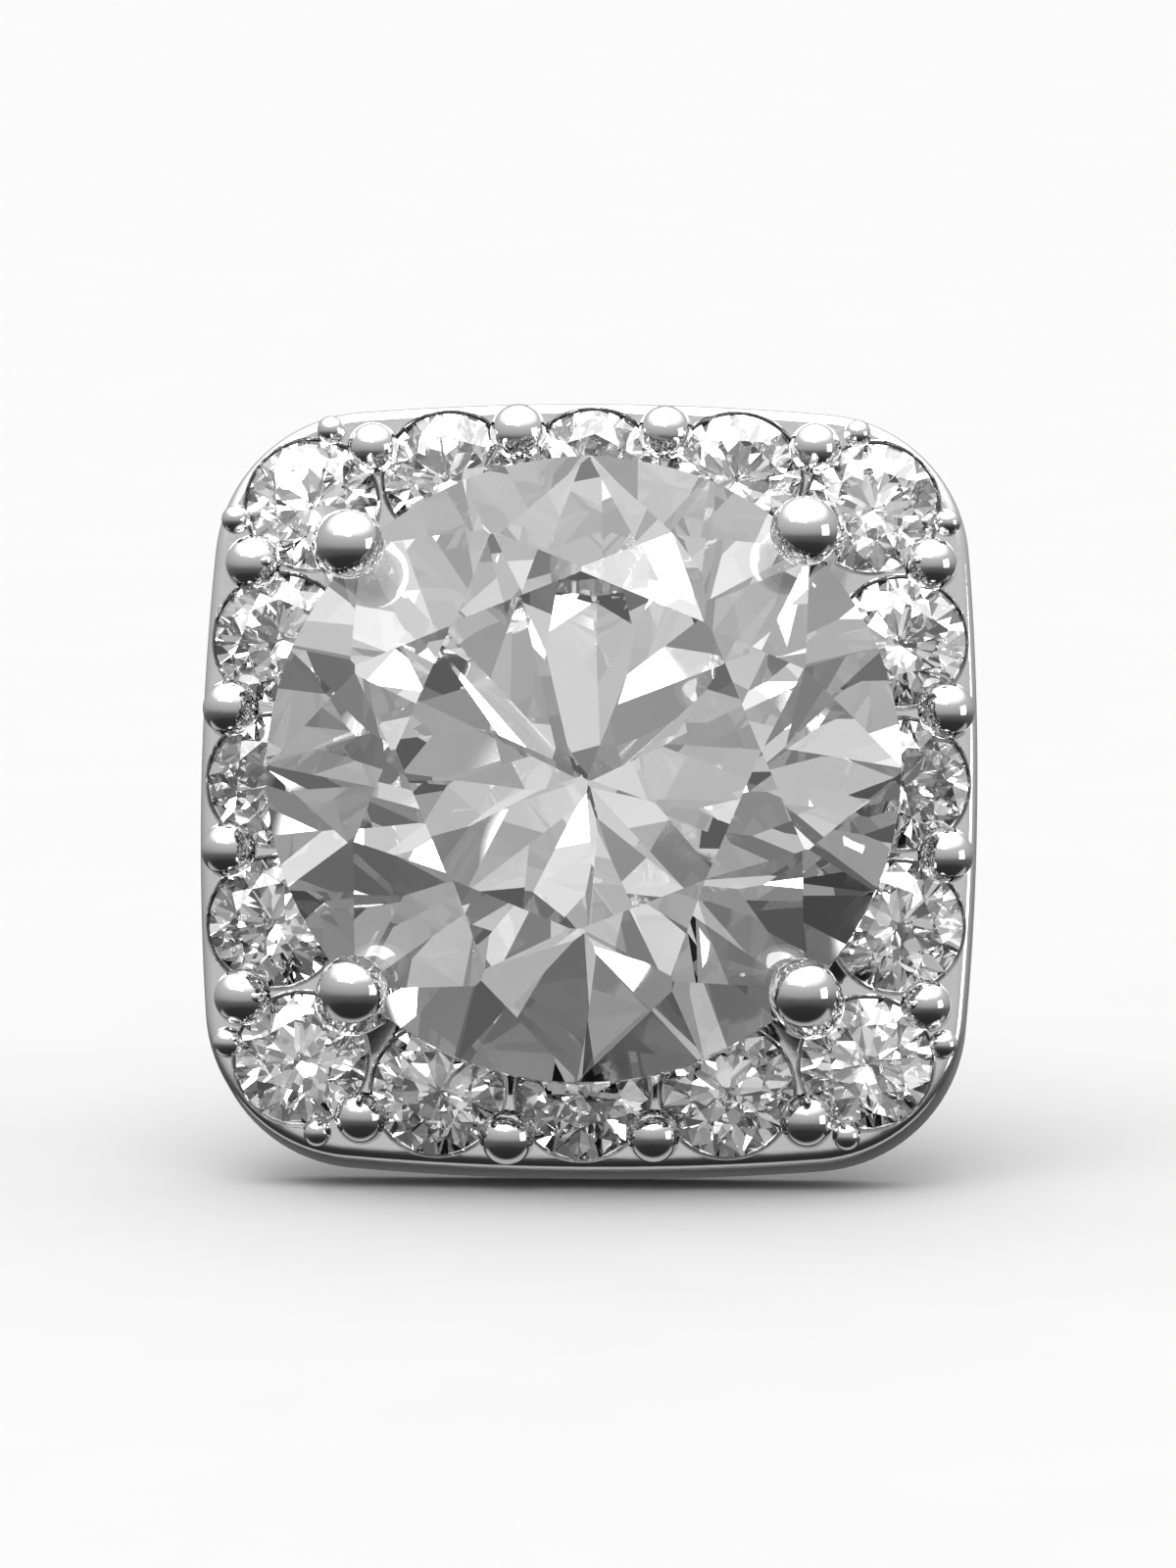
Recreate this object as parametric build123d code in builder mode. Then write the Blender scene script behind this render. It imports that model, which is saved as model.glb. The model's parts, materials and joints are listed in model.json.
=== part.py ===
from build123d import *
import math
import os

# Stud earring: a round stone in four ball-tipped claws, inside a cushion-shaped
# halo of small round stones, on a straight post. Millimetres, +Z up.
#
# Every piece is first shaped upright, in the stud's own frame: +Z runs along the
# post and out of the face, and 0 is the back of the base. The finished stud then
# lies as it would on a table, on the lower back edge of its halo and the tip of
# its post, with its face towards -Y. The origin is the middle of its footprint.

# Cushion outline of the halo
halo_sides = 4
halo_half = 4.0  # centre to the middle of a side
halo_bow = 30.0  # radius of the bow in each side
halo_corner = 1.6  # radius of each corner

# Halo frame
halo_back = 2.0
halo_front = 3.0
rim_round = 0.12
opening_gap = 0.2  # from the center stone, along the radius
azure_radius = 0.35  # light hole behind each halo stone

# Stones, with shares of the stone's width
center_width = 6.5
center_height = 3.8  # middle of the girdle
stones_a_side = 4  # each corner stone counts to one side
halo_stone_width = 1.35
halo_stone_height = 2.96  # middle of the girdle
halo_stone_inset = 0.76  # outline to the middle of a stone
halo_stone_turn = 17.0  # each stone is turned this much more than the last
table_share = 0.57
girdle_share = 0.03
culet_share = 0.01
crown_slope = 34.5
pavilion_slope = 40.8
star_share = 0.5  # of the way from the table's edge to the girdle
lower_half_share = 0.78  # of the way from the girdle to the culet
facet_sides = 8
stone_gap = 0.02  # between a stone and its seat

# Claws, set by hand near the halo's corners. The route of each is its distance
# from the axis and its height, from the base to the tip
claw_turns = [47, 137, 226, 314]
claw_radius = 0.36
claw_route = [(0.8, 0.35), (2.9, 3.0), (3.42, 3.8), (3.3, 4.2)]
claw_bends = [1.2, 0.5]

# Beads between the halo stones, off the line that joins two neighbours
outer_bead_radius = 0.28
outer_bead_offset = 0.5
outer_bead_height = 3.05
inner_bead_radius = 0.2
inner_bead_offset = 0.42
inner_bead_height = 3.0
bead_stem_share = 0.8  # of the bead's radius
bead_stem_foot = 2.5

# Base and post
base_radius = 1.15
base_height = 0.7
base_round = 0.15
post_radius = 0.425
post_length = 10.0

quarter_turn = 360 / halo_sides
crown_tan = math.tan(math.radians(crown_slope))
pavilion_tan = math.tan(math.radians(pavilion_slope))


def table_height(width):
    # Above the middle of the girdle
    return width / 2 * (girdle_share + (1 - table_share) * crown_tan)


def culet_depth(width):
    # Below the middle of the girdle
    return width / 2 * (girdle_share + (1 - culet_share) * pavilion_tan)


def slant(turn, reach, height, slope):
    # Plane through the point at that turn and reach, whose face slopes down away
    # from the axis, or in towards it where the slope is over 90
    spot = Vector(reach, 0, height).rotate(Axis.Z, turn)
    lean = Vector(math.sin(math.radians(slope)), 0, math.cos(math.radians(slope))).rotate(Axis.Z, turn)
    return Plane(origin=spot, z_dir=lean)


def brilliant(width):
    # Round brilliant about +Z, with the middle of its girdle at 0
    radius = width / 2
    girdle = radius * girdle_share
    step = 360 / facet_sides
    half_cos = math.cos(math.radians(step / 2))
    chord_cos = math.cos(math.radians(step / 4))

    # The tip of a star lies on the edge between two kites
    table_flat = radius * table_share * half_cos
    star_reach = table_flat + star_share * (radius - table_flat)
    star_rise = (radius - star_reach * half_cos) * crown_tan
    star_drop = table_height(width) - girdle - star_rise
    star_slope = math.degrees(math.atan2(star_drop, star_reach - table_flat))

    # The tip of a lower half lies on the edge between two pavilion mains
    low_reach = radius * (1 - lower_half_share)
    low_drop = (radius - low_reach * half_cos) * pavilion_tan

    # Upper and lower halves lean on chords of the girdle, either side of a main
    upper_slope = math.degrees(math.atan2(star_rise, (radius - star_reach) * chord_cos))
    lower_slope = math.degrees(math.atan2(low_drop, (radius - low_reach) * chord_cos))

    blank_height = culet_depth(width) + table_height(width)
    with BuildPart() as stone:
        with Locations((0, 0, -culet_depth(width))):
            Cylinder(radius, blank_height, align=(Align.CENTER, Align.CENTER, Align.MIN))
        for side in range(facet_sides):
            turn = side * step
            split(bisect_by=slant(turn, radius, girdle, crown_slope), keep=Keep.BOTTOM)
            split(bisect_by=slant(turn, radius, -girdle, 180 - pavilion_slope), keep=Keep.BOTTOM)
            split(
                bisect_by=slant(turn + step / 2, table_flat, table_height(width), star_slope),
                keep=Keep.BOTTOM,
            )
            for half in (turn - step / 4, turn + step / 4):
                split(bisect_by=slant(half, radius * chord_cos, girdle, upper_slope), keep=Keep.BOTTOM)
                split(
                    bisect_by=slant(half, radius * chord_cos, -girdle, 180 - lower_slope),
                    keep=Keep.BOTTOM,
                )
    return stone.part


def seat(width):
    # Room that a stone takes in the metal, about +Z, with the stone's girdle at 0
    radius = width / 2
    girdle = radius * girdle_share
    with BuildPart() as room:
        with BuildSketch(Plane.XZ):
            with BuildLine():
                Polyline(
                    (0, -culet_depth(width)),
                    (radius * culet_share, -culet_depth(width)),
                    (radius, -girdle),
                    (radius, girdle),
                    (radius * table_share, table_height(width)),
                    (0, table_height(width)),
                    close=True,
                )
            make_face()
            offset(amount=stone_gap, kind=Kind.INTERSECTION)
            split(bisect_by=Plane.YZ, keep=Keep.TOP)
        revolve(axis=Axis.Z)
    return room.part


def side_point(inset, length):
    # Point of the side that faces +X, inside the outline by the inset, at that
    # length along the side from its middle
    reach = halo_bow - inset
    angle = length / reach
    return Vector(reach * math.cos(angle) - (halo_bow - halo_half), reach * math.sin(angle))


def halo_ring():
    # Middles of the halo stones, anticlockwise from the middle of the +X side,
    # the same length apart along the cushion
    back = halo_bow - halo_half
    corner = (math.sqrt(2 * (halo_bow - halo_corner) ** 2 - back**2) - back) / 2
    side_angle = math.atan2(corner, corner + back)
    corner_radius = halo_corner - halo_stone_inset
    half_side = (halo_bow - halo_stone_inset) * side_angle
    corner_length = corner_radius * (math.pi / 2 - 2 * side_angle)
    pitch = (2 * half_side + corner_length) / stones_a_side
    beside = side_point(halo_stone_inset, pitch)
    corner_reach = corner + corner_radius / math.sqrt(2)
    quarter = [
        side_point(halo_stone_inset, 0),
        beside,
        Vector(corner_reach, corner_reach),
        Vector(beside.Y, beside.X),
    ]
    return [spot.rotate(Axis.Z, quarter_turn * side) for side in range(halo_sides) for spot in quarter]


halo_spots = halo_ring()

outer_beads = []
inner_beads = []
for number, spot in enumerate(halo_spots):
    neighbour = halo_spots[(number + 1) % len(halo_spots)]
    outward = (neighbour - spot).normalized().cross(Vector(0, 0, 1))
    middle = (spot + neighbour) / 2
    outer_beads.append(middle + outward * outer_bead_offset)
    # Beside a corner stone the claw stands where the inner bead would
    if number % stones_a_side in (0, stones_a_side - 1):
        inner_beads.append(middle - outward * inner_bead_offset)

# Halo frame: a cushion plate, open under the center stone
with BuildPart() as frame:
    with BuildSketch(Plane.XY.offset(halo_back)) as outline:
        Circle(2 * halo_half)
        for side in range(halo_sides):
            with PolarLocations(halo_bow - halo_half, 1, start_angle=quarter_turn * side):
                Circle(halo_bow, mode=Mode.INTERSECT)
        fillet(outline.vertices(), halo_corner)
    extrude(amount=halo_front - halo_back)
    fillet(frame.faces().sort_by(Axis.Z)[-1].edges(), rim_round)
    fillet(frame.faces().sort_by(Axis.Z)[0].edges(), rim_round)
    opening_front = center_width / 2 + opening_gap - (center_height - halo_front) / pavilion_tan
    opening_back = opening_front - (halo_front - halo_back) / pavilion_tan
    with Locations((0, 0, halo_back)):
        Cone(
            opening_back,
            opening_front,
            halo_front - halo_back,
            align=(Align.CENTER, Align.CENTER, Align.MIN),
            mode=Mode.SUBTRACT,
        )

# One claw: a wire bent along its route, with a ball for a tip
with BuildPart() as claw:
    with BuildLine(Plane.XZ) as route:
        FilletPolyline(*claw_route, radius=claw_bends)
    with BuildSketch(Plane(origin=route.line @ 0, z_dir=route.line % 0)):
        Circle(claw_radius)
    sweep()
    with Locations(route.line @ 1):
        Sphere(claw_radius)

# Base and post
with BuildPart() as stem:
    Cylinder(base_radius, base_height, align=(Align.CENTER, Align.CENTER, Align.MIN))
    fillet(stem.edges(), base_round)
    with Locations((0, 0, base_height / 2)):
        Cylinder(
            post_radius,
            post_length - post_radius + base_height / 2,
            align=(Align.CENTER, Align.CENTER, Align.MAX),
        )
    with Locations((0, 0, post_radius - post_length)):
        Sphere(post_radius)

center_seat = seat(center_width)
halo_seat = seat(halo_stone_width)

# All the metal is soldered into one
with BuildPart() as metal:
    add(frame.part)
    with Locations(*[Location((0, 0, 0), (0, 0, turn)) for turn in claw_turns]):
        add(claw.part)
    add(stem.part)
    for beads, radius, height in (
        (outer_beads, outer_bead_radius, outer_bead_height),
        (inner_beads, inner_bead_radius, inner_bead_height),
    ):
        with Locations(*[(spot.X, spot.Y, height) for spot in beads]):
            Sphere(radius)
            Cylinder(
                radius * bead_stem_share,
                height - bead_stem_foot,
                align=(Align.CENTER, Align.CENTER, Align.MAX),
            )
    with Locations((0, 0, center_height)):
        add(center_seat, mode=Mode.SUBTRACT)
    with Locations(*[(spot.X, spot.Y, halo_stone_height) for spot in halo_spots]):
        add(halo_seat, mode=Mode.SUBTRACT)
        Cylinder(azure_radius, 2 * (halo_front - halo_back), mode=Mode.SUBTRACT)

# At rest the stud touches the surface at the rounding of its rim and at the
# ball end of its post
rim_reach = halo_half - rim_round
rim_height = halo_back + rim_round
tip_height = post_radius - post_length
rest_span = math.hypot(rim_reach, rim_height - tip_height)
rest_tilt = math.atan2(rim_reach, rim_height - tip_height) - math.asin(
    (post_radius - rim_round) / rest_span
)
front = (center_height + table_height(center_width)) * math.cos(rest_tilt)
front += center_width / 2 * table_share * math.sin(rest_tilt)
back = post_radius - tip_height * math.cos(rest_tilt)
rest = Plane(
    origin=(0, (front - back) / 2, post_radius - tip_height * math.sin(rest_tilt)),
    x_dir=(1, 0, 0),
    z_dir=(0, -math.cos(rest_tilt), math.sin(rest_tilt)),
)

os.makedirs("parts", exist_ok=True)

with BuildPart(rest) as setting:
    add(metal.part)
setting.part.label = "setting"
export_step(setting.part, "parts/setting.step")

with BuildPart(rest.offset(center_height)) as center_stone:
    add(brilliant(center_width))
center_stone.part.label = "center_stone"
export_step(center_stone.part, "parts/center_stone.step")

small_brilliant = brilliant(halo_stone_width)
for number, spot in enumerate(halo_spots, 1):
    with BuildPart(rest.offset(halo_stone_height)) as halo_stone:
        with Locations(Location((spot.X, spot.Y, 0), (0, 0, number * halo_stone_turn))):
            add(small_brilliant)
    halo_stone.part.label = f"halo_stone_{number:02d}"
    export_step(halo_stone.part, f"parts/{halo_stone.part.label}.step")

print(f"face tilted up by {math.degrees(rest_tilt):.2f} degrees")
print(f"stud frame starts at {rest.origin.X:.4f}, {rest.origin.Y:.4f}, {rest.origin.Z:.4f}")
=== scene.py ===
import json
import math
import random

import bmesh
import bpy
from mathutils import Matrix, Vector


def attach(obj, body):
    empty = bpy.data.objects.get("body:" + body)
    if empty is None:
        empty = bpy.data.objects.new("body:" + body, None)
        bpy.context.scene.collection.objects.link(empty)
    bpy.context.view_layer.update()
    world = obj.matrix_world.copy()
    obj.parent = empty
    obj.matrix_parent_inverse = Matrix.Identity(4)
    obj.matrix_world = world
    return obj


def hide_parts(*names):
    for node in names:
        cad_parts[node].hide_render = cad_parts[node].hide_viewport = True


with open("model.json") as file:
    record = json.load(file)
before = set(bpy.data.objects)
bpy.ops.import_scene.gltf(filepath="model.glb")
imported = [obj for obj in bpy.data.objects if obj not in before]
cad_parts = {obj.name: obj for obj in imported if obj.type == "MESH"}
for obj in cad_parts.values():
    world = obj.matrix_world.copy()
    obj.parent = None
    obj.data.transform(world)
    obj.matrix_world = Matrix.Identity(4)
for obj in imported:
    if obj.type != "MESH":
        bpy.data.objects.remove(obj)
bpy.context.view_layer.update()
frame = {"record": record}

mm = 0.001
scene = bpy.context.scene

# Where the stud lies: it is modelled upright in mm, +Z out of its face and 0 at
# the back of its base, and laid down by studFrame
mounts = {mount["name"]: mount for mount in frame["record"]["mounts"]}
facing = -Vector(mounts["post"]["axis"]).normalized()
right = Vector((1, 0, 0))
upward = facing.cross(right)
postHalf = mounts["post"]["dims"]["length_mm"] / 2
studFrame = Matrix((right, upward, facing)).transposed().to_4x4()
studFrame.translation = Vector(mounts["post"]["pos_m"]) + facing * postHalf * mm
toMetres = studFrame @ Matrix.Scale(mm, 4)
zAxis = Vector((0, 0, 1))


def turned(point, degrees):
    return Matrix.Rotation(math.radians(degrees), 3, "Z") @ Vector(point)


class Value:
    # An output socket that can be used in sums
    def __init__(self, nodes, socket):
        self.nodes = nodes
        self.socket = socket

    def maths(self, operation, first, second):
        return self.nodes.add("ShaderNodeMath", {"operation": operation}, {0: first, 1: second})

    def __add__(self, other):
        return self.maths("ADD", self, other)

    def __sub__(self, other):
        return self.maths("SUBTRACT", self, other)

    def __rsub__(self, other):
        return self.maths("SUBTRACT", other, self)

    def __mul__(self, other):
        return self.maths("MULTIPLY", self, other)

    __radd__ = __add__
    __rmul__ = __mul__


class Nodes:
    # A node tree that is filled by type, settings and sockets
    def __init__(self, owner):
        owner.use_nodes = True
        self.tree = owner.node_tree

    def add(self, kind, settings=None, sockets=None, output=0):
        node = self.tree.nodes.new(kind)
        for name, setting in (settings or {}).items():
            if name == "stops":
                colours = node.color_ramp
                while len(colours.elements) < len(setting):
                    colours.elements.new(1)
                for element, (place, tone) in zip(colours.elements, setting):
                    element.position = place
                    element.color = (tone, tone, tone, 1)
            else:
                setattr(node, name, setting)
        for name, value in (sockets or {}).items():
            self.plug(node.inputs[name], value)
        return Value(self, node.outputs[output])

    def plug(self, socket, value):
        if isinstance(value, Value):
            self.tree.links.new(value.socket, socket)
        else:
            socket.default_value = value


def shaded(name, constants):
    material = bpy.data.materials.new(name)
    nodes = Nodes(material)
    shader = material.node_tree.nodes["Principled BSDF"]
    for socket, value in constants.items():
        shader.inputs[socket].default_value = value
    return material, nodes, shader


def objectPlace(nodes):
    # Place on the piece, in mm
    place = nodes.add("ShaderNodeTexCoord", output=3)
    return nodes.add("ShaderNodeMapping", {}, {"Vector": place, "Scale": (1 / mm,) * 3})


def noise(nodes, place, scale, detail):
    return nodes.add("ShaderNodeTexNoise", {}, {"Vector": place, "Scale": scale, "Detail": detail})


def ramp(nodes, stops, value):
    return nodes.add("ShaderNodeValToRGB", {"stops": stops}, {"Fac": value})


def plugGrey(nodes, socket, tone):
    nodes.plug(socket, nodes.add("ShaderNodeCombineColor", {}, {0: tone, 1: tone, 2: tone}))


metalFinish = {
    "tone": 0.86,
    "toneFade": 0.05,
    "roughness": 0.06,
    "handling": 0.07,  # roughness added where the polish is dulled
    "ripple": 0.004,  # mm
    "rippleStrength": 0.5,
    "cloudScale": 0.9,
    "cloudDetail": 3.0,
    "fineScale": 9.0,
    "fineDetail": 4.0,
    "dulled": [(0.45, 0.0), (0.7, 1.0)],
}
castFinish = {
    **metalFinish,
    "tone": 0.78,
    "toneFade": 0.06,
    "roughness": 0.27,
    "handling": 0.12,
    "ripple": 0.012,
}


def whiteMetal(name, finish):
    material, nodes, shader = shaded(name, {"Metallic": 1.0})
    place = objectPlace(nodes)
    fine = noise(nodes, place, finish["fineScale"], finish["fineDetail"])
    cloud = noise(nodes, place, finish["cloudScale"], finish["cloudDetail"])
    dull = ramp(nodes, finish["dulled"], cloud)
    plugGrey(nodes, shader.inputs["Base Color"], finish["tone"] - dull * finish["toneFade"])
    nodes.plug(shader.inputs["Roughness"], finish["roughness"] + dull * fine * finish["handling"])
    ripple = {"Height": fine, "Distance": finish["ripple"] * mm, "Strength": finish["rippleStrength"]}
    nodes.plug(shader.inputs["Normal"], nodes.add("ShaderNodeBump", {}, ripple))
    return material


stoneFinish = {
    "ior": 2.42,
    "tone": 0.985,
    "haze": 0.012,
    "smearScale": 1.3,
    "smearDetail": 2.0,
    "smeared": [(0.5, 0.0), (0.75, 1.0)],
}


def clearStone():
    # Clear, with a faint smear here and there as a worn stone has
    constants = {"Transmission Weight": 1.0, "IOR": stoneFinish["ior"]}
    material, nodes, shader = shaded("clear stone", constants)
    patches = noise(nodes, objectPlace(nodes), stoneFinish["smearScale"], stoneFinish["smearDetail"])
    smear = ramp(nodes, stoneFinish["smeared"], patches)
    nodes.plug(shader.inputs["Roughness"], smear * stoneFinish["haze"])
    plugGrey(nodes, shader.inputs["Base Color"], 1 - smear * (1 - stoneFinish["tone"]))
    return material


stage = {
    "radius": 2.0,  # metres
    "edgeSteps": 96,
    "tone": 0.8,
    "grain": 0.03,
    "grainScale": 0.4,
    "grainDetail": 5.0,
    "grainRoughness": 0.1,
    "roughness": 0.6,
    "specular": 0.2,
    "light": 0.83,
    "lightAngle": 50.0,  # the wider, the softer its shadow
    "lightLean": (20, -10),
}


def paleFloor():
    material, nodes, shader = shaded("pale floor", {"Specular IOR Level": stage["specular"]})
    grain = noise(nodes, objectPlace(nodes), stage["grainScale"], stage["grainDetail"])
    plugGrey(nodes, shader.inputs["Base Color"], stage["tone"] + grain * stage["grain"])
    nodes.plug(shader.inputs["Roughness"], stage["roughness"] + grain * stage["grainRoughness"])
    return material


metal = whiteMetal("polished white metal", metalFinish)
castMetal = whiteMetal("white metal left as cast", castFinish)
stone = clearStone()
print("finishes made")

# What each group of lights reaches
litStones = bpy.data.collections.new("lit stones")
litMetal = bpy.data.collections.new("lit metal")
litFloor = bpy.data.collections.new("lit floor")


def addShape(name, bm):
    # Puts the shape in the scene as an object and lets go of it
    mesh = bpy.data.meshes.new(name)
    bm.to_mesh(mesh)
    bm.free()
    thing = bpy.data.objects.new(name, mesh)
    scene.collection.objects.link(thing)
    return thing


def finishPiece(name, bm, materials, nodes, sharpAngle=None):
    # Lays the piece down, in metres, and hands it to the frame; only metal is smooth
    bmesh.ops.transform(bm, matrix=toMetres, verts=bm.verts)
    piece = addShape(name, bm)
    mesh = piece.data
    for material in materials:
        mesh.materials.append(material)
    for face in mesh.polygons:
        face.use_smooth = sharpAngle is not None
    if sharpAngle is None:
        litStones.objects.link(piece)
    else:
        mesh.set_sharp_from_angle(angle=math.radians(sharpAngle))
        even = piece.modifiers.new("even shading", "WEIGHTED_NORMAL")
        even.keep_sharp = True
        litMetal.objects.link(piece)
    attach(piece, "root")
    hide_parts(*nodes)
    print(name, len(mesh.polygons), "faces")
    return piece


def carve(bm, cutters):
    # Cuts closed shells out of a closed shell
    blank = addShape("blank", bm)
    workshop = [blank]
    for cutter in cutters:
        modifier = blank.modifiers.new("carve", "BOOLEAN")
        modifier.operation = "DIFFERENCE"
        modifier.solver = "EXACT"
        modifier.object = addShape("cutter", cutter)
        workshop.append(modifier.object)
    carved = blank.evaluated_get(bpy.context.evaluated_depsgraph_get())
    result = bmesh.new()
    result.from_mesh(carved.data)
    for thing in workshop:
        mesh = thing.data
        bpy.data.objects.remove(thing)
        bpy.data.meshes.remove(mesh)
    return result


samePoint = 1e-5  # mm between two points that count as one


def vertsOf(parts):
    return [part for part in parts if isinstance(part, bmesh.types.BMVert)]


def edgesOf(parts):
    return [part for part in parts if isinstance(part, bmesh.types.BMEdge)]


def lathe(points, steps):
    # Closed shell of a half profile, in XZ from the axis to the axis
    bm = bmesh.new()
    verts = [bm.verts.new((reach, 0, height)) for reach, height in points]
    edges = [bm.edges.new(pair) for pair in zip(verts, verts[1:])]
    bmesh.ops.spin(
        bm,
        geom=verts + edges,
        cent=(0, 0, 0),
        axis=zAxis,
        angle=math.tau,
        steps=steps,
        use_merge=True,
        use_duplicate=False,
    )
    bmesh.ops.remove_doubles(bm, verts=bm.verts, dist=samePoint)
    bmesh.ops.recalc_face_normals(bm, faces=bm.faces)
    return bm


def arc(middle, radius, first, last, steps):
    # Points of an arc in the half profile, from one angle to the other
    points = []
    for step in range(steps + 1):
        angle = math.radians(first + (last - first) * step / steps)
        points.append((middle[0] + radius * math.cos(angle), middle[1] + radius * math.sin(angle)))
    return points


def copyTo(bm, source, matrices):
    # Adds a copy of the source at each place
    mesh = bpy.data.meshes.new("copy")
    for matrix in matrices:
        known = len(bm.verts)
        source.to_mesh(mesh)
        bm.from_mesh(mesh)
        bm.verts.ensure_lookup_table()
        bmesh.ops.transform(bm, matrix=matrix, verts=bm.verts[known:])
    bpy.data.meshes.remove(mesh)


brilliantCut = {
    "table": 0.57,  # share of the width, as are the next two
    "girdle": 0.03,
    "culet": 0.01,
    "crownSlope": 34.5,
    "pavilionSlope": 40.8,
    "star": 0.5,  # share of the way from the table to the girdle
    "lowerHalf": 0.78,  # share of the way from the girdle to the culet
    "sides": 8,
    "stray": 0.6,  # degrees that a facet may stray
}
crownTan = math.tan(math.radians(brilliantCut["crownSlope"]))
pavilionTan = math.tan(math.radians(brilliantCut["pavilionSlope"]))


def tableHeight(width):
    return width / 2 * (brilliantCut["girdle"] + (1 - brilliantCut["table"]) * crownTan)


def culetDepth(width):
    return width / 2 * (brilliantCut["girdle"] + (1 - brilliantCut["culet"]) * pavilionTan)


def brilliant(width, girdleSteps, seed):
    # Round brilliant, cut facet by facet, with the middle of its girdle at 0
    chance = random.Random(seed)
    radius = width / 2
    girdle = radius * brilliantCut["girdle"]
    step = 360 / brilliantCut["sides"]
    halfCos = math.cos(math.radians(step / 2))
    chordCos = math.cos(math.radians(step / 4))
    # where the stars end on the crown and the lower halves on the pavilion, and
    # the slopes that brings
    tableFlat = radius * brilliantCut["table"] * halfCos
    starReach = tableFlat + brilliantCut["star"] * (radius - tableFlat)
    starRise = (radius - starReach * halfCos) * crownTan
    starDrop = tableHeight(width) - girdle - starRise
    starSlope = math.degrees(math.atan2(starDrop, starReach - tableFlat))
    lowReach = radius * (1 - brilliantCut["lowerHalf"])
    lowDrop = (radius - lowReach * halfCos) * pavilionTan
    upperSlope = math.degrees(math.atan2(starRise, (radius - starReach) * chordCos))
    lowerSlope = math.degrees(math.atan2(lowDrop, (radius - lowReach) * chordCos))

    bm = bmesh.new()
    bmesh.ops.create_cone(
        bm,
        cap_ends=True,
        segments=girdleSteps,
        radius1=radius,
        radius2=radius,
        depth=culetDepth(width) + tableHeight(width),
    )
    middle = (tableHeight(width) - culetDepth(width)) / 2
    bmesh.ops.translate(bm, vec=(0, 0, middle), verts=bm.verts)

    def facet(turn, reach, height, slope):
        turn += chance.uniform(-1, 1) * brilliantCut["stray"]
        slope += chance.uniform(-1, 1) * brilliantCut["stray"]
        lean = math.radians(slope)
        cut = bmesh.ops.bisect_plane(
            bm,
            geom=bm.verts[:] + bm.edges[:] + bm.faces[:],
            dist=samePoint,
            plane_co=turned((reach, 0, height), turn),
            plane_no=turned((math.sin(lean), 0, math.cos(lean)), turn),
            clear_outer=True,
        )
        bmesh.ops.contextual_create(bm, geom=edgesOf(cut["geom_cut"]))

    for side in range(brilliantCut["sides"]):
        turn = side * step
        facet(turn, radius, girdle, brilliantCut["crownSlope"])
        facet(turn, radius, -girdle, 180 - brilliantCut["pavilionSlope"])
        facet(turn + step / 2, tableFlat, tableHeight(width), starSlope)
        for half in (turn - step / 4, turn + step / 4):
            facet(half, radius * chordCos, girdle, upperSlope)
            facet(half, radius * chordCos, -girdle, 180 - lowerSlope)
    bmesh.ops.recalc_face_normals(bm, faces=bm.faces)
    return bm


center = {
    "width": 6.5,
    "height": 3.8,
    "girdleSteps": 128,
    "seatSteps": 128,
    "seed": 3,
}
haloStones = {
    "width": 1.35,
    "height": 2.96,
    "inset": 0.76,  # from the outline of the halo
    "turn": 17.0,  # from each stone to the next
    "girdleSteps": 48,
    "seatSteps": 64,
}
seatGap = 0.02  # between a stone and its seat

halo = {
    "half": 4.0,
    "bow": 30.0,  # radius of each side
    "corner": 1.6,
    "back": 2.0,
    "front": 3.0,
    "round": 0.12,
    "brightCut": 0.025,  # how far each seat opens out at the face
    "openingGap": 0.2,
    "azure": 0.35,  # radius of the light hole behind each stone
    "past": 0.1,  # how far a cutter runs past a face
    "join": 1e-4,  # how near counts as touching
    "sideSteps": 20,
    "cornerSteps": 20,
    "roundSteps": 6,
    "sharp": 30,
}
bowBack = halo["bow"] - halo["half"]
cornerMiddle = (math.sqrt(2 * (halo["bow"] - halo["corner"]) ** 2 - bowBack**2) - bowBack) / 2
sideAngle = math.atan2(cornerMiddle, cornerMiddle + bowBack)


def haloRing():
    # Middles of the small stones, the same length apart along the cushion
    bow = halo["bow"] - haloStones["inset"]
    corner = halo["corner"] - haloStones["inset"]
    pitch = (2 * bow * sideAngle + corner * (math.pi / 2 - 2 * sideAngle)) / 4
    beside = Vector((bow * math.cos(pitch / bow) - bowBack, bow * math.sin(pitch / bow), 0))
    cornerReach = cornerMiddle + corner / math.sqrt(2)
    quarter = [
        Vector((bow - bowBack, 0, 0)),
        beside,
        Vector((cornerReach, cornerReach, 0)),
        Vector((beside.y, beside.x, 0)),
    ]
    return [turned(spot, 90 * side) for side in range(4) for spot in quarter]


haloSpots = haloRing()


def makeStones():
    bm = brilliant(center["width"], center["girdleSteps"], center["seed"])
    bmesh.ops.translate(bm, vec=(0, 0, center["height"]), verts=bm.verts)
    finishPiece("centerStone", bm, [stone], ["center_stone"])
    for number, spot in enumerate(haloSpots, 1):
        bm = brilliant(haloStones["width"], haloStones["girdleSteps"], number)
        place = Matrix.Translation(spot + zAxis * haloStones["height"])
        turn = Matrix.Rotation(math.radians(number * haloStones["turn"]), 4, "Z")
        bmesh.ops.transform(bm, matrix=place @ turn, verts=bm.verts)
        node = f"halo_stone_{number:02d}"
        small = finishPiece(f"smallStone{number:02d}", bm, [stone], [node])
        litMetal.objects.link(small)


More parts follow.
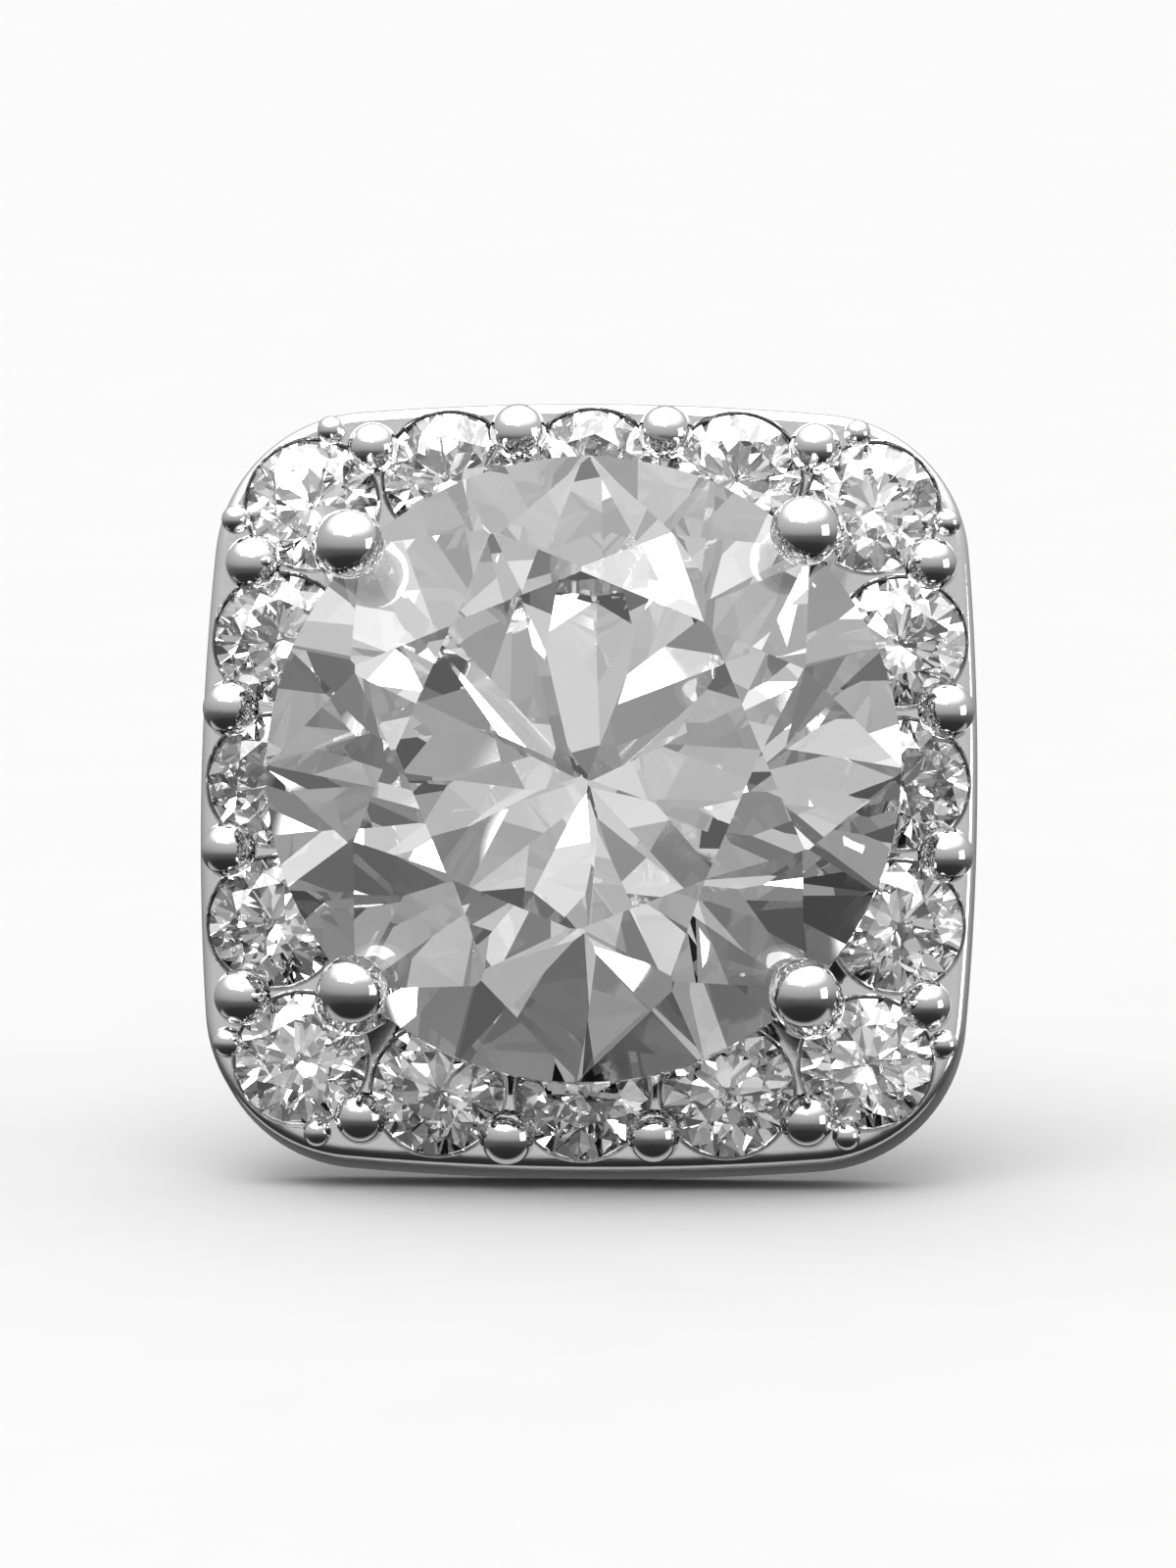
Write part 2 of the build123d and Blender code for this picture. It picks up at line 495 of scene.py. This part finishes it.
def seatProfile(width):
    # Stone's outline grown by the gap
    radius = width / 2
    girdle = radius * brilliantCut["girdle"]
    crown = math.radians(brilliantCut["crownSlope"])
    pavilion = math.radians(brilliantCut["pavilionSlope"])
    side = radius + seatGap
    return [
        (0, -girdle - radius * pavilionTan - seatGap / math.cos(pavilion)),
        (side, -girdle - seatGap * (1 - math.sin(pavilion)) / math.cos(pavilion)),
        (side, girdle + seatGap * (1 - math.sin(crown)) / math.cos(crown)),
        (radius * brilliantCut["table"], tableHeight(width) + seatGap),
        (0, tableHeight(width) + seatGap),
    ]


def haloSeats(brightCut=0.0):
    # Each seat with its light hole behind, as one closed shell. A bright cut opens
    # it out at the face, and otherwise it closes over the stone's crown
    low, side, top, table, axis = seatProfile(haloStones["width"])
    slope = (side[1] - low[1]) / side[0]
    hole = halo["azure"]
    through = haloStones["height"] - halo["back"] + halo["past"]
    profile = [(0, -through), (hole, -through), (hole, low[1] + slope * hole), side]
    if brightCut:
        # it runs as far past the face as it rises to it
        rise = halo["front"] - haloStones["height"] - side[1]
        profile += [(side[0] + 2 * brightCut, side[1] + 2 * rise), (0, side[1] + 2 * rise)]
    else:
        profile += [top, table, axis]
    one = lathe(profile, haloStones["seatSteps"])
    cutter = bmesh.new()
    copyTo(cutter, one, [Matrix.Translation(spot + zAxis * haloStones["height"]) for spot in haloSpots])
    one.free()
    return cutter


def centerSeat():
    cutter = lathe(seatProfile(center["width"]), center["seatSteps"])
    bmesh.ops.translate(cutter, vec=(0, 0, center["height"]), verts=cutter.verts)
    return cutter


def makeHaloFrame():
    bm = bmesh.new()
    # one side and one corner of the cushion, then the other three of each
    bow = halo["bow"]
    start = bm.verts.new((bow * math.cos(sideAngle) - bowBack, -bow * math.sin(sideAngle), halo["back"]))
    bmesh.ops.spin(
        bm,
        geom=[start],
        cent=(-bowBack, 0, 0),
        axis=zAxis,
        angle=2 * sideAngle,
        steps=halo["sideSteps"],
    )
    end = max(bm.verts, key=lambda vert: vert.co.y)
    bmesh.ops.spin(
        bm,
        geom=[end],
        cent=(cornerMiddle, cornerMiddle, 0),
        axis=zAxis,
        angle=math.pi / 2 - 2 * sideAngle,
        steps=halo["cornerSteps"],
    )
    quarter = bm.verts[:] + bm.edges[:]
    for side in range(1, 4):
        bmesh.ops.spin(
            bm,
            geom=quarter,
            cent=(0, 0, 0),
            axis=zAxis,
            angle=math.pi / 2 * side,
            steps=1,
            use_duplicate=True,
        )
    bmesh.ops.remove_doubles(bm, verts=bm.verts, dist=halo["join"])
    outline = bmesh.ops.contextual_create(bm, geom=bm.edges[:])["faces"]
    raised = bmesh.ops.extrude_face_region(bm, geom=outline, use_keep_orig=True)["geom"]
    bmesh.ops.translate(bm, vec=(0, 0, halo["front"] - halo["back"]), verts=vertsOf(raised))
    bmesh.ops.recalc_face_normals(bm, faces=bm.faces)
    for height in (halo["front"], halo["back"]):
        level = {vert for vert in bm.verts if abs(vert.co.z - height) < halo["join"]}
        rim = [edge for edge in bm.edges if level.issuperset(edge.verts)]
        bmesh.ops.bevel(
            bm,
            geom=rim,
            offset=halo["round"],
            offset_type="OFFSET",
            affect="EDGES",
            segments=halo["roundSteps"],
            profile=0.5,
            material=-1,
        )
    # the opening behind the center stone is a cone that follows its pavilion
    low = halo["back"] - halo["past"]
    high = halo["front"] + halo["past"]
    wide = center["width"] / 2 + halo["openingGap"]
    profile = [(0, low)]
    for height in (low, high):
        profile.append((wide - (center["height"] - height) / pavilionTan, height))
    profile.append((0, high))
    opening = lathe(profile, center["seatSteps"])
    bm = carve(bm, [opening, haloSeats(halo["brightCut"])])
    # its flat back keeps the skin of the casting
    for face in bm.faces:
        if face.calc_center_median().z < halo["back"] + halo["join"]:
            face.material_index = 1
    finishPiece("haloFrame", bm, [metal, castMetal], ["setting"], halo["sharp"])


beads = {
    "outer": {"radius": 0.28, "offset": 0.46, "height": 3.05},
    "inner": {"radius": 0.2, "offset": -0.42, "height": 3.0},
    "corner": {"radius": 0.15, "offset": 0.79, "height": 3.03},
    "cornerTurn": 58.0,  # from the corner's diagonal, round its stone
    "stemShare": 0.8,  # width of the stem under the ball
    "foot": 2.5,
    "steps": 40,
    "arcSteps": 12,
    "sharp": 40,
    "stray": 0.02,  # how far a bead may stand from its place
    "uneven": 0.06,  # share by which a bead may be wider or narrower
    "seed": 5,
}


def beadSpots(kind):
    # Outer and inner beads stand between two stones, and each corner stone has
    # two small ones more on its outer side
    offset = beads[kind]["offset"]
    spots = []
    for number, spot in enumerate(haloSpots):
        place = number % 4
        if kind == "corner" and place == 2:
            for turn in (-beads["cornerTurn"], beads["cornerTurn"]):
                spots.append(spot + turned(spot.normalized(), turn) * offset)
        if kind == "outer" or (kind == "inner" and place in (0, 3)):
            neighbour = haloSpots[(number + 1) % len(haloSpots)]
            outward = (neighbour - spot).normalized().cross(zAxis)
            spots.append((spot + neighbour) / 2 + outward * offset)
    return spots


def makeBeads():
    chance = random.Random(beads["seed"])
    bm = bmesh.new()
    for kind in ("outer", "inner", "corner"):
        size = beads[kind]
        radius = size["radius"]
        low = -math.degrees(math.acos(beads["stemShare"]))
        profile = arc((0, size["height"]), radius, 90, low, beads["arcSteps"])
        profile += [(radius * beads["stemShare"], beads["foot"]), (0, beads["foot"])]
        one = lathe(profile, beads["steps"])
        places = []
        for spot in beadSpots(kind):
            stray = Vector([chance.uniform(-1, 1) for axis in range(3)]) * beads["stray"]
            girth = 1 + chance.uniform(-1, 1) * beads["uneven"]
            places.append(Matrix.Translation(spot + stray) @ Matrix.Diagonal((girth, girth, 1, 1)))
        copyTo(bm, one, places)
        one.free()
    bm = carve(bm, [haloSeats(), centerSeat()])
    finishPiece("haloBeads", bm, [metal], ["setting"], beads["sharp"])


claws = {
    "turns": [47, 137, 226, 314],
    "radius": 0.36,
    "route": [(0.8, 0.35), (2.9, 3.0), (3.42, 3.8), (3.3, 4.2)],  # reach and height
    "bends": [1.2, 0.5],  # radius at each corner of the route
    "steps": 40,
    "bendSteps": 12,
    "domeSteps": 12,
    "domeEnd": 1e-3,  # share of the radius left before the dome closes
    "sharp": 40,
}


def bentWire(route, bends, radius):
    # Round wire along the route, in XZ, with a domed tip
    points = [Vector((reach, 0, height)) for reach, height in route]
    bm = bmesh.new()
    ahead = (points[1] - points[0]).normalized()
    tip = zAxis.rotation_difference(ahead).to_matrix().to_4x4()
    tip.translation = points[0]
    bmesh.ops.create_circle(bm, cap_ends=True, segments=claws["steps"], radius=radius, matrix=tip)
    edges = bm.edges[:]
    here = points[0]

    def push(edges, vector):
        made = bmesh.ops.extrude_edge_only(bm, edges=edges)["geom"]
        verts = vertsOf(made)
        bmesh.ops.translate(bm, vec=vector, verts=verts)
        return edgesOf(made), verts

    for corner, after, bend in zip(points[1:], points[2:], bends):
        leave = (after - corner).normalized()
        turn = ahead.angle(leave)
        trim = bend * math.tan(turn / 2)
        edges, verts = push(edges, corner - ahead * trim - here)
        side = (leave - ahead * leave.dot(ahead)).normalized()
        middle = corner - ahead * trim + side * bend
        made = bmesh.ops.spin(
            bm,
            geom=verts + edges,
            cent=middle,
            axis=ahead.cross(leave),
            angle=turn,
            steps=claws["bendSteps"],
        )["geom_last"]
        edges = edgesOf(made)
        verts = vertsOf(made)
        here = corner + leave * trim
        ahead = leave
    edges, verts = push(edges, points[-1] - here)
    # the tip is a half ball, ring by ring
    spread = 1.0
    rise = 0.0
    for step in range(1, claws["domeSteps"] + 1):
        angle = math.pi / 2 * step / claws["domeSteps"]
        edges, verts = push(edges, ahead * radius * (math.sin(angle) - rise))
        rise = math.sin(angle)
        share = max(math.cos(angle), claws["domeEnd"])
        middle = points[-1] + ahead * radius * rise
        bmesh.ops.scale(bm, vec=(share / spread,) * 3, space=Matrix.Translation(-middle), verts=verts)
        spread = share
    bmesh.ops.pointmerge(bm, verts=verts, merge_co=points[-1] + ahead * radius)
    bmesh.ops.recalc_face_normals(bm, faces=bm.faces)
    return bm


def makeClaws():
    one = bentWire(claws["route"], claws["bends"], claws["radius"])
    bm = bmesh.new()
    copyTo(bm, one, [Matrix.Rotation(math.radians(turn), 4, "Z") for turn in claws["turns"]])
    one.free()
    bm = carve(bm, [haloSeats(), centerSeat()])
    finishPiece("claws", bm, [metal], ["setting"], claws["sharp"])


stem = {
    "baseRadius": 1.15,
    "baseHeight": 0.7,
    "baseRound": 0.15,
    "postRadius": 0.425,
    "postLength": 10.0,
    "solder": 0.12,
    "steps": 64,
    "tipSteps": 10,
    "roundSteps": 6,
    "sharp": 40,
}


def makeStem():
    post = stem["postRadius"]
    solder = stem["solder"]
    edge = stem["baseRound"]
    side = stem["baseRadius"] - edge
    steps = stem["roundSteps"]
    profile = arc((0, post - stem["postLength"]), post, -90, 0, stem["tipSteps"])
    profile += arc((post + solder, -solder), solder, 180, 90, steps)
    profile += arc((side, edge), edge, -90, 0, steps)
    profile += arc((side, stem["baseHeight"] - edge), edge, 0, 90, steps)
    profile.append((0, stem["baseHeight"]))
    bm = lathe(profile, stem["steps"])
    finishPiece("post", bm, [metal], ["setting"], stem["sharp"])


makeStones()
makeHaloFrame()
makeBeads()
makeClaws()
makeStem()


def makeStage():
    bm = bmesh.new()
    bmesh.ops.create_circle(bm, cap_ends=True, segments=stage["edgeSteps"], radius=stage["radius"])
    floor = addShape("floor", bm)
    floor.data.materials.append(paleFloor())
    # the metal and the stones see the darker room under them instead
    floor.visible_glossy = False
    floor.visible_transmission = False
    litFloor.objects.link(floor)
    print("floor laid")


makeStage()

# Tones of the room from straight down to straight up, as the stones let them
# through and as the metal mirrors them
room = {
    "inStones": [(0.0, 0.05), (0.42, 0.15), (0.5, 0.26), (0.6, 0.33), (0.75, 0.41), (0.9, 0.55)],
    "inMetal": [(0.0, 0.02), (0.2, 0.03), (0.38, 0.1), (0.5, 0.3), (0.74, 0.48), (0.83, 0.95)],
    "strengthInStones": 3.02,
    "strengthInMetal": 1.25,
    "tableBehind": 0.35,  # pale table top behind the stud, low down
    "tableDepth": (0.05, 0.4),  # it fades in between these, as parts of a
    "tableHeight": (-0.47, -0.6),  # direction of length 1
    "clutterScale": 3.2,
    "clutterDetail": 3.0,
    "clutter": [(0.36, 0.18), (0.5, 0.42), (0.64, 0.78)],
    "lampScale": 9.0,
    "lamps": [(0.14, 1.0), (0.17, 0.0)],  # lit near the middle of each cell
    "lampGlow": 8.0,
    "seen": 0.95,  # backdrop, as the camera sees it
}


def makeRoom():
    # Soft grey room, lighter overhead and darker below and in front
    world = bpy.data.worlds.new("studio")
    scene.world = world
    world.cycles.sampling_method = "NONE"  # metal and stones find it by mirroring it
    nodes = Nodes(world)
    direction = nodes.add("ShaderNodeTexCoord", output=0)
    back = nodes.add("ShaderNodeSeparateXYZ", {}, {0: direction}, output=1)
    height = nodes.add("ShaderNodeSeparateXYZ", {}, {0: direction}, output=2)

    def between(value, first, last):
        soft = {"interpolation_type": "SMOOTHSTEP"}
        return nodes.add("ShaderNodeMapRange", soft, {0: value, 1: first, 2: last})

    table = between(back, *room["tableDepth"]) * between(height, *room["tableHeight"])
    table = table * room["tableBehind"]
    rise = height * 0.5 + 0.5
    inMetal = (ramp(nodes, room["inMetal"], rise) + table) * room["strengthInMetal"]
    # the stones see things in the room too, and far little lamps that can each light a facet
    things = noise(nodes, direction, room["clutterScale"], room["clutterDetail"])
    clutter = ramp(nodes, room["clutter"], things)
    spread = nodes.add("ShaderNodeTexVoronoi", {}, {"Vector": direction, "Scale": room["lampScale"]})
    lamps = ramp(nodes, room["lamps"], spread) * room["lampGlow"]
    walls = (ramp(nodes, room["inStones"], rise) + table) * clutter
    inStones = walls * room["strengthInStones"] + lamps
    throughStone = nodes.add("ShaderNodeLightPath", output="Is Transmission Ray")
    lit = inMetal + throughStone * (inStones - inMetal)
    eye = nodes.add("ShaderNodeLightPath", output="Is Camera Ray")
    nodes.plug(world.node_tree.nodes["Background"].inputs["Color"], lit + eye * (room["seen"] - lit))
    print("room made")


makeRoom()

view = {
    "azimuth": 3.0,
    "elevation": 7.0,
    "lens": 250.0,
    "sensor": 36.0,
    "share": 0.66,  # of the image's width, for the halo
    "shape": 1600 / 1200,
    "height": 2.9,
}
target = studFrame @ Vector((0, 0, view["height"] * mm))


def placeAround(turn, rise, reach):
    # Point round the stud, by its turn from the front and its rise, in degrees
    turn, rise = math.radians(turn), math.radians(rise)
    away = Vector((math.sin(turn) * math.cos(rise), -math.cos(turn) * math.cos(rise), math.sin(rise)))
    return target + away * reach


def lookAtStud(thing, place):
    thing.location = place
    thing.rotation_mode = "QUATERNION"
    thing.rotation_quaternion = (target - place).to_track_quat("-Z", "Y")
    scene.collection.objects.link(thing)


def makeCamera():
    data = bpy.data.cameras.new("camera")
    data.lens = view["lens"]
    data.clip_start = mm
    camera = bpy.data.objects.new("camera", data)
    frameWidth = 2 * halo["half"] * mm / view["share"]
    distance = frameWidth * view["shape"] / view["sensor"] * view["lens"]
    lookAtStud(camera, placeAround(view["azimuth"], view["elevation"], distance))
    scene.camera = camera
    print(f"camera set {distance / mm:.0f} mm away")


makeCamera()

# Soft lights that the metal and the small stones mirror
softboxes = {
    "keySoftbox": {"turn": -26, "rise": 65, "reach": 0.4, "size": 0.45, "glow": 3.3},
    "overheadSoftbox": {"turn": 150, "rise": 76, "reach": 0.4, "size": 0.42, "glow": 2.2},
    "sideSoftbox": {"turn": 74, "rise": 4, "reach": 0.4, "size": 0.2, "glow": 1.6},
}
# Small lights that the stones flash with: turn, rise, size and glow
flashes = {
    "reach": 0.45,
    "places": [
        (37, 46, 0.03, 6.0),
        (29, 66, 0.012, 3.0),
        (12, 23, 0.009, 6.0),
        (-57, -4, 0.009, 6.0),
    ],
}


def addLight(name, place, size, glow, receivers):
    # Square light that faces the stud; glow is how bright its face looks
    light = bpy.data.lights.new(name, "AREA")
    light.size = size
    light.energy = glow * math.pi * size * size
    thing = bpy.data.objects.new(name, light)
    lookAtStud(thing, place)
    thing.light_linking.receiver_collection = receivers
    thing.visible_camera = False


def makeLights():
    for name, box in softboxes.items():
        place = placeAround(box["turn"], box["rise"], box["reach"])
        addLight(name, place, box["size"], box["glow"], litMetal)
    for number, (turn, rise, size, glow) in enumerate(flashes["places"]):
        place = placeAround(turn, rise, flashes["reach"])
        addLight(f"flash{number:02d}", place, size, glow, litStones)
    sun = bpy.data.lights.new("floorLight", "SUN")
    sun.angle = math.radians(stage["lightAngle"])
    sun.energy = stage["light"]
    thing = bpy.data.objects.new("floorLight", sun)
    thing.rotation_euler = [math.radians(lean) for lean in (*stage["lightLean"], 0)]
    scene.collection.objects.link(thing)
    thing.light_linking.receiver_collection = litFloor
    print("lights hung")


makeLights()

scene.view_settings.view_transform = "Standard"
# enough bounces for light to cross a stone a few times and come out again
scene.cycles.max_bounces = 12
scene.cycles.transmission_bounces = 12
scene.cycles.glossy_bounces = 6
scene.cycles.use_light_tree = False
scene.cycles.caustics_reflective = False
scene.cycles.caustics_refractive = False
